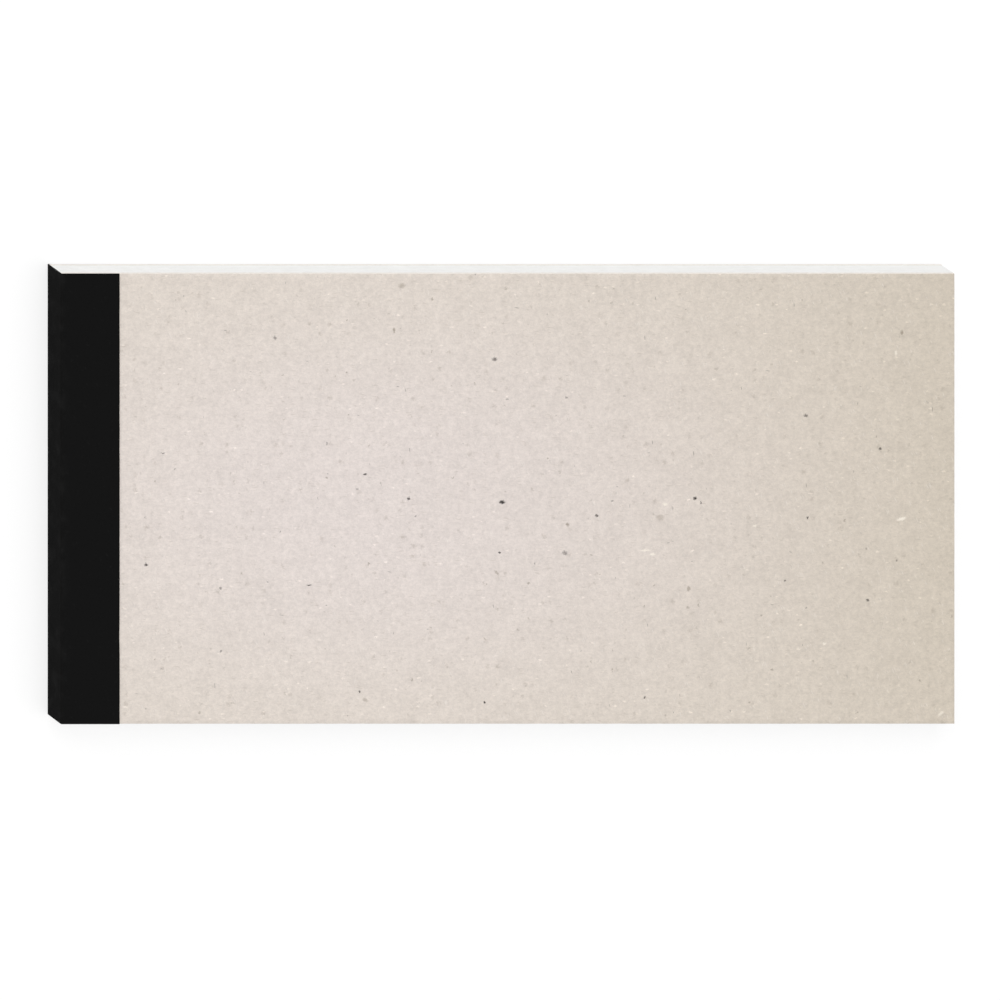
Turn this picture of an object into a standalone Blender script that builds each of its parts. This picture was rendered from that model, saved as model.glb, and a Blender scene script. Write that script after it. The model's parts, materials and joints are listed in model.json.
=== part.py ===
"""Cash voucher book: two chipboard boards and fifty leaves, wire stitched and bound with tape at the spine.

The book lies on its back board. X runs from the spine (-X) to the fore-edge, Y from tail to head
and Z upwards through the thickness. The origin is at the middle of the book's underside.
"""

import math

import bmesh
import bpy
from mathutils import Matrix, Vector

MM = 0.001

# Outside sizes of the closed book
BOOK_LENGTH = 202.5 * MM
BOOK_WIDTH = 102.0 * MM

# Boards and leaves
BOARD_THICKNESS = 0.8 * MM
LEAF_COUNT = 50
LEAF_THICKNESS = 0.092 * MM
LEAF_SPACE = 0.016 * MM

# The line along which the leaves bend, measured from the spine, and the room left of it
CREASE_INSET = 13.9 * MM
CREASE_CLEARANCE = 0.3 * MM

# Binding tape: one strip folded round the spine, with an equal lap on each board
TAPE_THICKNESS = 0.25 * MM
TAPE_LAP = 13.3 * MM
TAPE_FOLD_STEPS = 8

# Layers that are glued or pressed together keep this much between their flat faces
GLUE_LINE = 0.02 * MM

# Cover hinge: the tape bends where the front board meets the leaves
HINGE_CLEARANCE = 0.06 * MM
HINGE_SEAM = 0.06 * MM

# Wire stitches, each a staple with its crown on the leaves and its legs clinched under the back board
STITCH_WIRE_DIAMETER = 0.5 * MM
STITCH_CROWN = 13.0 * MM
STITCH_CLINCH = 4.6 * MM
STITCH_BEND_RADIUS = 0.55 * MM
STITCH_BEND_STEPS = 3
STITCH_INSET = 6.5 * MM
STITCH_SPACING = 50.0 * MM
STITCH_CLEARANCE = 0.06 * MM
WIRE_BEVEL_RESOLUTION = 2
WIRE_WELD = 0.001 * MM

# Places along X, worked out from the sizes above
SPINE_X = -BOOK_LENGTH / 2
FORE_EDGE_X = BOOK_LENGTH / 2
BOARD_SPINE_X = SPINE_X + TAPE_THICKNESS + GLUE_LINE
CREASE_X = SPINE_X + CREASE_INSET
STITCH_X = SPINE_X + STITCH_INSET

# Levels along Z, from the underside of the tape up to the face of the front board
BACK_BOARD_LOW = TAPE_THICKNESS + GLUE_LINE
BACK_BOARD_TOP = BACK_BOARD_LOW + BOARD_THICKNESS
LEAVES_LOW = BACK_BOARD_TOP + GLUE_LINE
LEAF_PITCH = LEAF_THICKNESS + LEAF_SPACE
LEAVES_TOP = LEAVES_LOW + LEAF_COUNT * LEAF_PITCH
FRONT_BOARD_LOW = LEAVES_TOP + GLUE_LINE
FRONT_BOARD_TOP = FRONT_BOARD_LOW + BOARD_THICKNESS

COVER_AXIS = Vector((SPINE_X - HINGE_CLEARANCE, 0.0, LEAVES_TOP))
CREASE_AXIS = Vector((CREASE_X, 0.0, LEAVES_TOP))
BOOK_ORIGIN = Vector((0.0, 0.0, 0.0))

# Finishes: linear colour, roughness, metallic
CHIPBOARD = ("chipboard", (0.72, 0.66, 0.60), 0.92, 0.0)
TAPE = ("binding_tape", (0.009, 0.009, 0.009), 0.85, 0.0)
PAPER = ("paper", (0.86, 0.86, 0.86), 0.88, 0.0)
WIRE = ("stitching_wire", (0.62, 0.62, 0.60), 0.35, 1.0)


def clear_scene():
    """Remove every object that the scene starts with."""
    for old in list(bpy.data.objects):
        bpy.data.objects.remove(old, do_unlink=True)


def new_collection(name):
    """Add a collection to the scene."""
    collection = bpy.data.collections.new(name)
    bpy.context.scene.collection.children.link(collection)
    return collection


def finish_material(finish):
    """The Principled material of a finish, made the first time it is asked for."""
    name, colour, roughness, metallic = finish
    material = bpy.data.materials.get(name)
    if material is None:
        material = bpy.data.materials.new(name)
        material.use_nodes = True
        shader = material.node_tree.nodes["Principled BSDF"]
        shader.inputs["Base Color"].default_value = (*colour, 1.0)
        shader.inputs["Roughness"].default_value = roughness
        shader.inputs["Metallic"].default_value = metallic
        material.diffuse_color = (*colour, 1.0)
    return material


def pivot_empty(name, place, collection):
    """An empty on a joint's axis, to carry the pieces that turn about it."""
    empty = bpy.data.objects.new(name, None)
    empty.location = place
    collection.objects.link(empty)
    return empty


def add_piece(name, data, finish, collection, pivot=None):
    """Put mesh or curve data into the collection, carried by its pivot where it has one."""
    piece = bpy.data.objects.new(name, data)
    data.materials.append(finish_material(finish))
    collection.objects.link(piece)
    piece.parent = pivot
    return piece


def box_mesh(name, low, high, origin):
    """A box between two corners, with its points measured from the given origin."""
    size = high - low
    place = Matrix.Translation((low + high) / 2 - origin) @ Matrix.Diagonal((*size, 1.0))
    shape = bmesh.new()
    bmesh.ops.create_cube(shape, size=1.0, matrix=place)
    mesh = bpy.data.meshes.new(name)
    shape.to_mesh(mesh)
    shape.free()
    return mesh


def sheet_mesh(name, left, right, bottom, top, origin=BOOK_ORIGIN):
    """A flat layer of the book over its whole width, from the left to the right edge."""
    low = Vector((left, -BOOK_WIDTH / 2, bottom))
    high = Vector((right, BOOK_WIDTH / 2, top))
    return box_mesh(name, low, high, origin)


def arc_points(centre, radius, start, stop, steps):
    """Points of an arc in a plane, from the start to the stop angle in degrees."""
    turns = [math.radians(start + (stop - start) * step / steps) for step in range(steps + 1)]
    return [centre + radius * Vector((math.cos(turn), math.sin(turn))) for turn in turns]


def tape_outline(spine_end, lap_level, lap_side):
    """Section of one arm of the tape in X and Z: down the spine, round the board's edge, along its face.

    The inner corner follows the board's square edge, so the outer corner is an arc of the tape's thickness.
    lap_level is the height of the lap's inner face; lap_side is 1 for the front board and -1 for the back.
    """
    corner = Vector((SPINE_X + TAPE_THICKNESS, lap_level))
    outer_fold = arc_points(corner, TAPE_THICKNESS, 180, 180 - 90 * lap_side, TAPE_FOLD_STEPS)
    lap_end = SPINE_X + TAPE_LAP
    outside = [Vector((SPINE_X, spine_end)), *outer_fold]
    outside.append(Vector((lap_end, lap_level + TAPE_THICKNESS * lap_side)))
    inside = [Vector((lap_end, lap_level)), corner, Vector((corner.x, spine_end))]
    return outside + inside


def tape_arm(name, outline, collection, pivot, origin):
    """A tape section drawn out over the book's width: a filled flat curve that is stood up along Y."""
    curve = bpy.data.curves.new(name, "CURVE")
    curve.dimensions = "2D"
    curve.fill_mode = "BOTH"
    curve.extrude = BOOK_WIDTH / 2
    spline = curve.splines.new("POLY")
    spline.points.add(len(outline) - 1)
    for point, place in zip(spline.points, outline):
        point.co = (place.x - origin.x, place.y - origin.z, 0.0, 1.0)
    spline.use_cyclic_u = True
    arm = add_piece(name, curve, TAPE, collection, pivot)
    arm.rotation_euler.x = math.radians(90)
    return arm


def stitch_path(middle_y):
    """Centre line of one wire stitch in the plane across the spine margin.

    It starts at the tip of one clinch, goes up a leg, along the crown, down the other leg and
    back under the board. Each of its four corners is an arc of the wire's bend radius.
    """
    radius = STITCH_WIRE_DIAMETER / 2
    crown_z = LEAVES_TOP - radius
    clinch_z = BACK_BOARD_LOW + radius
    leg = STITCH_CROWN / 2 - radius
    bend = STITCH_BEND_RADIUS
    tip = leg - STITCH_CLINCH
    low_corner = Vector((leg - bend, clinch_z + bend))
    high_corner = Vector((leg - bend, crown_z - bend))
    half = [Vector((tip, clinch_z))]
    half += arc_points(low_corner, bend, -90, 0, STITCH_BEND_STEPS)
    half += arc_points(high_corner, bend, 0, 90, STITCH_BEND_STEPS)
    other_half = [Vector((-place.x, place.y)) for place in reversed(half)]
    return [Vector((STITCH_X, middle_y + place.x, place.y)) for place in half + other_half]


def wire_curve(name, path, radius):
    """A round wire along a path, with closed ends."""
    curve = bpy.data.curves.new(name, "CURVE")
    curve.dimensions = "3D"
    curve.bevel_depth = radius
    curve.bevel_resolution = WIRE_BEVEL_RESOLUTION
    curve.use_fill_caps = True
    spline = curve.splines.new("POLY")
    spline.points.add(len(path) - 1)
    for point, place in zip(spline.points, path):
        point.co = (*place, 1.0)
    return curve


def stitch_tunnel(name, path, collection):
    """A cutter for the hole that a stitch presses for itself: the wire's own path, a clearance wider."""
    radius = STITCH_WIRE_DIAMETER / 2 + STITCH_CLEARANCE
    curve = wire_curve(name, path, radius)
    guide = bpy.data.objects.new(name + "_guide", curve)
    collection.objects.link(guide)
    graph = bpy.context.evaluated_depsgraph_get()
    mesh = bpy.data.meshes.new_from_object(guide.evaluated_get(graph))
    place = guide.matrix_world.copy()
    bpy.data.objects.remove(guide)
    shape = bmesh.new()
    shape.from_mesh(mesh)
    bmesh.ops.remove_doubles(shape, verts=shape.verts, dist=WIRE_WELD)
    bmesh.ops.recalc_face_normals(shape, faces=shape.faces)
    shape.to_mesh(mesh)
    shape.free()
    tunnel = bpy.data.objects.new(name, mesh)
    tunnel.matrix_world = place
    tunnel.hide_render = True
    tunnel.display_type = "WIRE"
    collection.objects.link(tunnel)
    return tunnel


def cut(piece, cutter):
    """Take the cutter's shape out of a piece."""
    modifier = piece.modifiers.new("cut_" + cutter.name, "BOOLEAN")
    modifier.operation = "DIFFERENCE"
    modifier.solver = "EXACT"
    modifier.object = cutter


def build_boards(book, cover_pivot):
    """The back board, and the front board that swings on the tape at the spine."""
    back = sheet_mesh("back_board", BOARD_SPINE_X, FORE_EDGE_X, BACK_BOARD_LOW, BACK_BOARD_TOP)
    front = sheet_mesh(
        "front_board", BOARD_SPINE_X, FORE_EDGE_X, FRONT_BOARD_LOW, FRONT_BOARD_TOP, COVER_AXIS
    )
    add_piece("front_board", front, CHIPBOARD, book, cover_pivot)
    return add_piece("back_board", back, CHIPBOARD, book)


def build_tape(book, cover_pivot):
    """Both arms of the tape, which part at the cover's hinge line."""
    front_level = FRONT_BOARD_TOP + GLUE_LINE
    front = tape_outline(LEAVES_TOP + HINGE_SEAM / 2, front_level, 1)
    tape_arm("tape_front_arm", front, book, cover_pivot, COVER_AXIS)
    back = tape_outline(LEAVES_TOP - HINGE_SEAM / 2, TAPE_THICKNESS, -1)
    tape_arm("tape_spine_arm", back, book, None, BOOK_ORIGIN)


def build_leaves(book):
    """The bound margin of all the leaves, and each leaf's free part beyond the crease, counted from the front."""
    crease_pivot = pivot_empty("leaf_crease", CREASE_AXIS, book)
    for number in range(1, LEAF_COUNT + 1):
        name = f"leaf_{number:02d}"
        top = LEAVES_TOP - (number - 1) * LEAF_PITCH - LEAF_SPACE / 2
        leaf = sheet_mesh(name, CREASE_X, FORE_EDGE_X, top - LEAF_THICKNESS, top, CREASE_AXIS)
        add_piece(name, leaf, PAPER, book, crease_pivot)
    margin_end = CREASE_X - CREASE_CLEARANCE
    margin = sheet_mesh("bound_margin", BOARD_SPINE_X, margin_end, LEAVES_LOW, LEAVES_TOP)
    return add_piece("bound_margin", margin, PAPER, book)


def build_stitches(book, cutters, stitched_pieces):
    """Two wire stitches, and the holes that they leave in the pieces they hold together."""
    for name, side in (("wire_stitch_head", 1), ("wire_stitch_tail", -1)):
        path = stitch_path(side * STITCH_SPACING / 2)
        add_piece(name, wire_curve(name, path, STITCH_WIRE_DIAMETER / 2), WIRE, book)
        tunnel = stitch_tunnel(name + "_tunnel", path, cutters)
        for piece in stitched_pieces:
            cut(piece, tunnel)


def build_book():
    """Build the whole book in its closed pose."""
    clear_scene()
    book = new_collection("cash_voucher_book")
    cutters = new_collection("stitch_cutters")
    cover_pivot = pivot_empty("cover_hinge", COVER_AXIS, book)
    back_board = build_boards(book, cover_pivot)
    build_tape(book, cover_pivot)
    bound_margin = build_leaves(book)
    build_stitches(book, cutters, (back_board, bound_margin))


build_book()
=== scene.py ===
"""Cash voucher book: two grey boards, a black taped spine, fifty ruled leaves and two wire stitches.

X runs from the spine to the fore-edge, Y from tail to head and Z up through the thickness, in metres.
Finishes work in millimetres.
"""

import json
import logging
import math
from dataclasses import asdict, dataclass, fields
from enum import Enum
from functools import reduce
from typing import Any, ClassVar, Optional, Union

import bpy
import numpy as np
import numpy.typing as npt
from mathutils import Matrix, Vector


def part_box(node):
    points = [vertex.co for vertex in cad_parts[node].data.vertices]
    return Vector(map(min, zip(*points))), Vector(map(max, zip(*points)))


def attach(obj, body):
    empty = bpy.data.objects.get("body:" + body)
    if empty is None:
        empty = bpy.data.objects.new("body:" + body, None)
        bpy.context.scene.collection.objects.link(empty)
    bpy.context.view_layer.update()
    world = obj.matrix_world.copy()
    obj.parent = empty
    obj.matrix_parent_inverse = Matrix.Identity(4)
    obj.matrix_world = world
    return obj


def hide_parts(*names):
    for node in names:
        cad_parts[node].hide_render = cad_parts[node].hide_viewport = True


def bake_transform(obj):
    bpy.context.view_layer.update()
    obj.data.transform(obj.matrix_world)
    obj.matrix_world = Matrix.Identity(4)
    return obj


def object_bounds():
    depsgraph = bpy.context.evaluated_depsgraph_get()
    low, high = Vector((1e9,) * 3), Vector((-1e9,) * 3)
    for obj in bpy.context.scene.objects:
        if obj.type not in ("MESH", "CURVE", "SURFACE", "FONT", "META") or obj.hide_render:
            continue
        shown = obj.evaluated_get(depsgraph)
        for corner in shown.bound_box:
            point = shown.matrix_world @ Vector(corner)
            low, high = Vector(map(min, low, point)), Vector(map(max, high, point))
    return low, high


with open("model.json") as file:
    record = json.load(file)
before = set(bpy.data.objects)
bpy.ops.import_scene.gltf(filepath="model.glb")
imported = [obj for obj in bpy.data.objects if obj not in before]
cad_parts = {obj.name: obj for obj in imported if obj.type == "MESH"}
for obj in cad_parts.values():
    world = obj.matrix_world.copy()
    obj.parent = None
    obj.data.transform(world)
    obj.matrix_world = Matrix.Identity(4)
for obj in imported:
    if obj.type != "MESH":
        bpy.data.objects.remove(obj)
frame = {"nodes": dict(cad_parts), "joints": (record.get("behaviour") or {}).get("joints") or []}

CAD_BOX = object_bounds()
MM = 0.001
PER_MM = 1000.0
QUARTER_TURN = math.pi / 2
FULL_TURN = 2 * math.pi
SCREEN_WHITE = 255.0
TOE_END, TOE_SLOPE = 0.04045, 12.92
CURVE_SHIFT, CURVE_POWER = 0.055, 2.4

Points = npt.NDArray[np.float64]
Values = npt.NDArray[np.float64]
Indices = npt.NDArray[np.int64]
Flags = npt.NDArray[np.bool_]
Colour = tuple[float, float, float, float]
Triple = tuple[float, float, float]
Socket = bpy.types.NodeSocket
Feed = Union[Socket, float, tuple[float, ...]]

LOG = logging.getLogger("voucher_book")


class Body(Enum):
    """Bodies of the frame that the fixed pieces ride on."""

    BLOCK = "book_block"
    COVER = "front_cover"


class Slot(Enum):
    """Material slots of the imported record."""

    CHIPBOARD = "chipboard"
    TAPE = "binding_tape"
    PAPER = "paper"
    WIRE = "stitching_wire"


class Kind(Enum):
    """Socket types of a shared effect."""

    VECTOR = "NodeSocketVector"
    VALUE = "NodeSocketFloat"


def paint(red: float, green: float, blue: float) -> Colour:
    """Turn a screen shade into the linear colour that a shader takes.

    Args:
        red: Red from 0 to 255.
        green: Green from 0 to 255.
        blue: Blue from 0 to 255.

    Returns:
        The linear colour with full alpha.
    """
    shade = np.array([red, green, blue]) / SCREEN_WHITE
    curve = ((shade + CURVE_SHIFT) / (1.0 + CURVE_SHIFT)) ** CURVE_POWER
    return (*np.where(shade <= TOE_END, shade / TOE_SLOPE, curve).tolist(), 1.0)


@dataclass(frozen=True)
class Ramp:
    """A carried range: as a value goes from start to stop, the result goes from low to high."""

    start: float
    stop: float
    low: float = 0.0
    high: float = 1.0


class Graph:
    """A node tree with one short call for each kind of node that the finishes use."""

    MIX_FACTOR: ClassVar[int] = 0
    MIX_A: ClassVar[int] = 6
    MIX_B: ClassVar[int] = 7
    MIX_RESULT: ClassVar[int] = 2
    NOISE_MIDDLE: ClassVar[Triple] = (0.5, 0.5, 0.5)

    def __init__(self, tree: bpy.types.NodeTree) -> None:
        """Keep the tree that the calls add to."""
        self.tree = tree

    def feed(self, socket: Socket, value: Feed) -> None:
        """Give an input its value: a link where it varies, a plain setting where it doesn't.

        Args:
            socket: The input.
            value: Another node's output, a number or a tuple.
        """
        if isinstance(value, bpy.types.NodeSocket):
            self.tree.links.new(value, socket)
        else:
            socket.default_value = value

    def node(self, kind: str, feeds: Optional[dict[Any, Feed]] = None, **settings: Any) -> bpy.types.Node:
        """Add a node.

        Args:
            kind: Blender's name for the node's type.
            feeds: Values for its inputs, by their names or numbers.
            **settings: Properties that are set on it first.

        Returns:
            The new node.
        """
        made = self.tree.nodes.new(kind)
        for name, value in settings.items():
            setattr(made, name, value)
        for key, value in (feeds or {}).items():
            self.feed(made.inputs[key], value)
        return made

    def math(self, operation: str, first: Feed, second: Feed = 0.0) -> Socket:
        """Return the result of a sum of one or two numbers."""
        return self.node("ShaderNodeMath", {0: first, 1: second}, operation=operation).outputs[0]

    def folded(self, operation: str, *values: Feed) -> Socket:
        """Return the result of a sum that is carried on through several numbers."""
        return reduce(lambda first, second: self.math(operation, first, second), values)

    def vector(self, operation: str, first: Feed, second: Feed) -> Socket:
        """Return the result of a sum of two vectors."""
        return self.node("ShaderNodeVectorMath", {0: first, 1: second}, operation=operation).outputs["Vector"]

    def scaled(self, vector: Feed, factor: Feed) -> Socket:
        """Return a vector or a colour times one number."""
        feeds = {0: vector, "Scale": factor}
        return self.node("ShaderNodeVectorMath", feeds, operation="SCALE").outputs["Vector"]

    def reach(self, vector: Feed) -> Socket:
        """Return the length of a vector."""
        return self.node("ShaderNodeVectorMath", {0: vector}, operation="LENGTH").outputs["Value"]

    def joined(self, x: Feed, y: Feed, z: Feed) -> Socket:
        """Return a vector made of three numbers."""
        return self.node("ShaderNodeCombineXYZ", {0: x, 1: y, 2: z}).outputs[0]

    def parts(self, vector: Feed) -> tuple[Socket, ...]:
        """Return the three numbers of a vector."""
        return tuple(self.node("ShaderNodeSeparateXYZ", {0: vector}).outputs)

    def turned(self, vector: Feed, angle: Feed) -> Socket:
        """Return a vector turned about Z by an angle in radians."""
        feeds = {"Vector": vector, "Angle": angle}
        return self.node("ShaderNodeVectorRotate", feeds, rotation_type="Z_AXIS").outputs[0]

    def ramped(self, value: Feed, ramp: Ramp, soft: bool = True) -> Socket:
        """Return a value carried along a ramp, as ranged does."""
        return self.ranged(value, ramp.start, ramp.stop, ramp.low, ramp.high, soft)

    def ranged(
        self, value: Feed, start: Feed, stop: Feed, low: Feed, high: Feed, soft: bool = True
    ) -> Socket:
        """Carry a value from one range to another and hold it at the ends.

        Args:
            value: The value.
            start: Where the first range starts.
            stop: Where the first range stops.
            low: The result at start.
            high: The result at stop.
            soft: Ease in and out, or go straight.

        Returns:
            The carried value.
        """
        feeds = dict(enumerate((value, start, stop, low, high)))
        ease = "SMOOTHSTEP" if soft else "LINEAR"
        return self.node("ShaderNodeMapRange", feeds, interpolation_type=ease).outputs[0]

    def mixed(self, factor: Feed, first: Feed, second: Feed) -> Socket:
        """Return a mix of two colours: the first at a factor of 0, the second at 1."""
        feeds = {self.MIX_FACTOR: factor, self.MIX_A: first, self.MIX_B: second}
        return self.node("ShaderNodeMix", feeds, data_type="RGBA").outputs[self.MIX_RESULT]

    def laid(self, colour: Feed, shade: Feed, mask: Feed, strength: Feed) -> Socket:
        """Return a colour with a shade laid over it where a mask says, at a strength."""
        return self.mixed(self.math("MULTIPLY", mask, strength), colour, shade)

    def noise(self, place: Feed, scale: Feed, detail: float = 3.0) -> bpy.types.Node:
        """Return a noise texture: waves for each unit of place, and octaves of finer noise."""
        feeds = {"Vector": place, "Scale": scale, "Detail": detail}
        return self.node("ShaderNodeTexNoise", feeds, noise_dimensions="3D")

    def shaken(self, place: Feed, scale: Feed, amount: Feed) -> Socket:
        """Return a place moved by an amount of smooth noise."""
        push = self.vector("SUBTRACT", self.noise(place, scale, 0.0).outputs["Color"], self.NOISE_MIDDLE)
        return self.vector("ADD", place, self.scaled(push, amount))

    def cells(self, place: Feed) -> tuple[Socket, Socket, Socket]:
        """Split space into scattered cells, about one for each unit.

        Args:
            place: Where they are read.

        Returns:
            The distance to the cell's middle, and two random numbers of the cell.
        """
        made = self.node("ShaderNodeTexVoronoi", {"Vector": place, "Scale": 1.0})
        chance = self.node("ShaderNodeSeparateColor", {0: made.outputs["Color"]})
        return (made.outputs["Distance"], chance.outputs[0], chance.outputs[1])


@dataclass(frozen=True)
class Effect:
    """A shader node group that finishes place, built once, with an input for each field of the subclass."""

    PLACE: ClassVar[str] = "place"
    group: ClassVar[str]
    outputs: ClassVar[tuple[str, ...]]

    @classmethod
    def formula(cls, graph: Graph, place: Socket, given: Any) -> tuple[Socket, ...]:
        """Wire the group.

        Args:
            graph: The group's nodes.
            place: Where it is read.
            given: Its fields by name.

        Returns:
            Its outputs, in their order.
        """
        raise NotImplementedError

    @classmethod
    def tree(cls) -> bpy.types.NodeTree:
        """Build the group the first time it is asked for.

        Returns:
            The group.
        """
        made = bpy.data.node_groups.get(cls.group)
        if made is not None:
            return made
        made = bpy.data.node_groups.new(cls.group, "ShaderNodeTree")
        made.interface.new_socket(name=cls.PLACE, in_out="INPUT", socket_type=Kind.VECTOR.value)
        for size in fields(cls):
            made.interface.new_socket(name=size.name, in_out="INPUT", socket_type=Kind.VALUE.value)
        for label in cls.outputs:
            made.interface.new_socket(name=label, in_out="OUTPUT", socket_type=Kind.VALUE.value)
        graph = Graph(made)
        given = graph.node("NodeGroupInput").outputs
        results = cls.formula(graph, given[cls.PLACE], given)
        graph.node("NodeGroupOutput", dict(zip(cls.outputs, results)))
        return made

    def put(self, graph: Graph, place: Feed) -> tuple[Socket, ...]:
        """Place the group in a finish, with this effect's own values.

        Args:
            graph: The finish's nodes.
            place: Where it is read, in millimetres.

        Returns:
            The group's outputs, in their order.
        """
        feeds = {self.PLACE: place, **asdict(self)}
        return tuple(graph.node("ShaderNodeGroup", feeds, node_tree=self.tree()).outputs)


@dataclass(frozen=True)
class FibreCloud(Effect):
    """Soft patches and a finer grain, both from 0 to 1.

    The patch and the grain are in millimetres, and the run is how much longer a grain is along X.
    """

    group = "fibre_cloud"
    outputs = ("patches", "grains")

    patch: float
    grain: float
    run: float

    @classmethod
    def formula(cls, graph: Graph, place: Socket, given: Any) -> tuple[Socket, ...]:
        """Read noise at the patch's size, and again at the grain's with X divided by the run.

        Args:
            graph: The group's nodes.
            place: Where it is read.
            given: Its fields by name.

        Returns:
            The patches and the grains.
        """
        patches = graph.noise(place, graph.math("DIVIDE", 1.0, given["patch"]))
        drawn = graph.vector("DIVIDE", place, graph.joined(given["run"], 1.0, 1.0))
        grains = graph.noise(drawn, graph.math("DIVIDE", 1.0, given["grain"]))
        return (patches.outputs[0], grains.outputs[0])


@dataclass(frozen=True)
class Scatter(Effect):
    """Small ragged flecks, scattered at random: where they lie, and a random tone for each.

    The cell is the millimetres from one to the next, and the share is how many of them are kept. The
    largest radius and the raggedness are in cells, the core is the solid share of a radius, and the run
    is how much longer a fleck is along X.
    """

    group = "scattered_flecks"
    outputs = ("flecks", "tone")
    RAG_WAVES: ClassVar[float] = 5.0
    LEAST: ClassVar[float] = 0.001

    cell: float
    share: float
    radius: float
    ragged: float
    core: float = 0.5
    run: float = 1.0

    @classmethod
    def formula(cls, graph: Graph, place: Socket, given: Any) -> tuple[Socket, ...]:
        """Keep a share of the cells, each with a ball of its own radius round its middle.

        Args:
            graph: The group's nodes.
            place: Where it is read.
            given: Its fields by name.

        Returns:
            The flecks from 0 to 1, and their tones.
        """
        length = graph.math("MULTIPLY", given["cell"], given["run"])
        steps = graph.vector("DIVIDE", place, graph.joined(length, given["cell"], given["cell"]))
        away, chance, tone = graph.cells(graph.shaken(steps, cls.RAG_WAVES, given["ragged"]))
        first = graph.math("SUBTRACT", 1.0, given["share"])
        kept = graph.ranged(chance, first, 1.0, 0.0, 1.0, soft=False)
        radius = graph.math("MULTIPLY", graph.math("SQRT", kept), given["radius"])
        core = graph.math("MULTIPLY", radius, given["core"])
        edge = graph.math("ADD", radius, cls.LEAST)
        return (graph.ranged(away, core, edge, 1.0, 0.0), tone)


@dataclass(frozen=True)
class Strands(Effect):
    """Short fine fibres that lie roughly one way.

    The turn is in radians, the length and width are in millimetres, and the share is how many are kept.
    """

    group = "strands"
    outputs = ("strands",)
    BEND_WAVES: ClassVar[float] = 0.4
    BEND: ClassVar[float] = 0.9
    CORE: ClassVar[float] = 0.18
    EDGE: ClassVar[float] = 0.42

    turn: float
    length: float
    width: float
    share: float

    @classmethod
    def formula(cls, graph: Graph, place: Socket, given: Any) -> tuple[Socket, ...]:
        """Keep a share of cells that are as long and as wide as a fibre, bent by slow noise.

        Args:
            graph: The group's nodes.
            place: Where it is read.
            given: Its fields by name.

        Returns:
            The strands from 0 to 1.
        """
        bent = graph.shaken(graph.turned(place, given["turn"]), cls.BEND_WAVES, cls.BEND)
        size = graph.joined(given["length"], given["width"], given["width"])
        away, chance, _ = graph.cells(graph.vector("DIVIDE", bent, size))
        kept = graph.math("GREATER_THAN", chance, graph.math("SUBTRACT", 1.0, given["share"]))
        return (graph.math("MULTIPLY", graph.ranged(away, cls.CORE, cls.EDGE, 1.0, 0.0), kept),)


@dataclass(frozen=True)
class Fleck(Effect):
    """One oval fleck in the board's face, placed in millimetres from the middle of the book.

    The turn is in degrees, and depth is how far it goes towards the fleck's own colour.
    """

    group = "placed_fleck"
    outputs = ("fleck",)
    THICKNESS: ClassVar[float] = 0.6
    CORE: ClassVar[float] = 0.2
    EDGE: ClassVar[float] = 0.6

    x: float
    y: float
    length: float
    width: float
    depth: float
    turn: float = 0.0

    @classmethod
    def formula(cls, graph: Graph, place: Socket, given: Any) -> tuple[Socket, ...]:
        """Measure the distance from the centre in lengths and widths.

        Args:
            graph: The group's nodes.
            place: Where it is read, with the board's face at zero.
            given: Its fields by name.

        Returns:
            The fleck, from 0 to its depth.
        """
        centre = graph.joined(given["x"], given["y"], 0.0)
        angle = graph.math("RADIANS", given["turn"])
        away = graph.turned(graph.vector("SUBTRACT", place, centre), angle)
        size = graph.joined(given["length"], given["width"], cls.THICKNESS)
        oval = graph.reach(graph.vector("DIVIDE", away, size))
        body = graph.ranged(oval, cls.CORE, cls.EDGE, 1.0, 0.0)
        return (graph.math("MULTIPLY", body, given["depth"]),)


@dataclass(frozen=True)
class FormBox(Effect):
    """The printed outline of a box, in millimetres from the middle of the leaf.

    A box with no height is a line, and the weight is the width of the ink.
    """

    group = "ruled_box"
    outputs = ("ink",)
    SOLID: ClassVar[float] = 0.3
    FADE: ClassVar[float] = 0.7

    left: float
    right: float
    low: float
    high: float
    weight: float = 0.28

    @classmethod
    def formula(cls, graph: Graph, place: Socket, given: Any) -> tuple[Socket, ...]:
        """Ink lies where the largest of the distances past the four sides is near zero.

        Args:
            graph: The group's nodes.
            place: Where it is read.
            given: Its fields by name.

        Returns:
            The ink from 0 to 1.
        """
        x, y, _ = graph.parts(place)
        past = graph.folded(
            "MAXIMUM",
            graph.math("SUBTRACT", given["left"], x),
            graph.math("SUBTRACT", x, given["right"]),
            graph.math("SUBTRACT", given["low"], y),
            graph.math("SUBTRACT", y, given["high"]),
        )
        solid = graph.math("MULTIPLY", given["weight"], cls.SOLID)
        fade = graph.math("MULTIPLY", given["weight"], cls.FADE)
        return (graph.ranged(graph.math("ABSOLUTE", past), solid, fade, 1.0, 0.0),)


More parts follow.
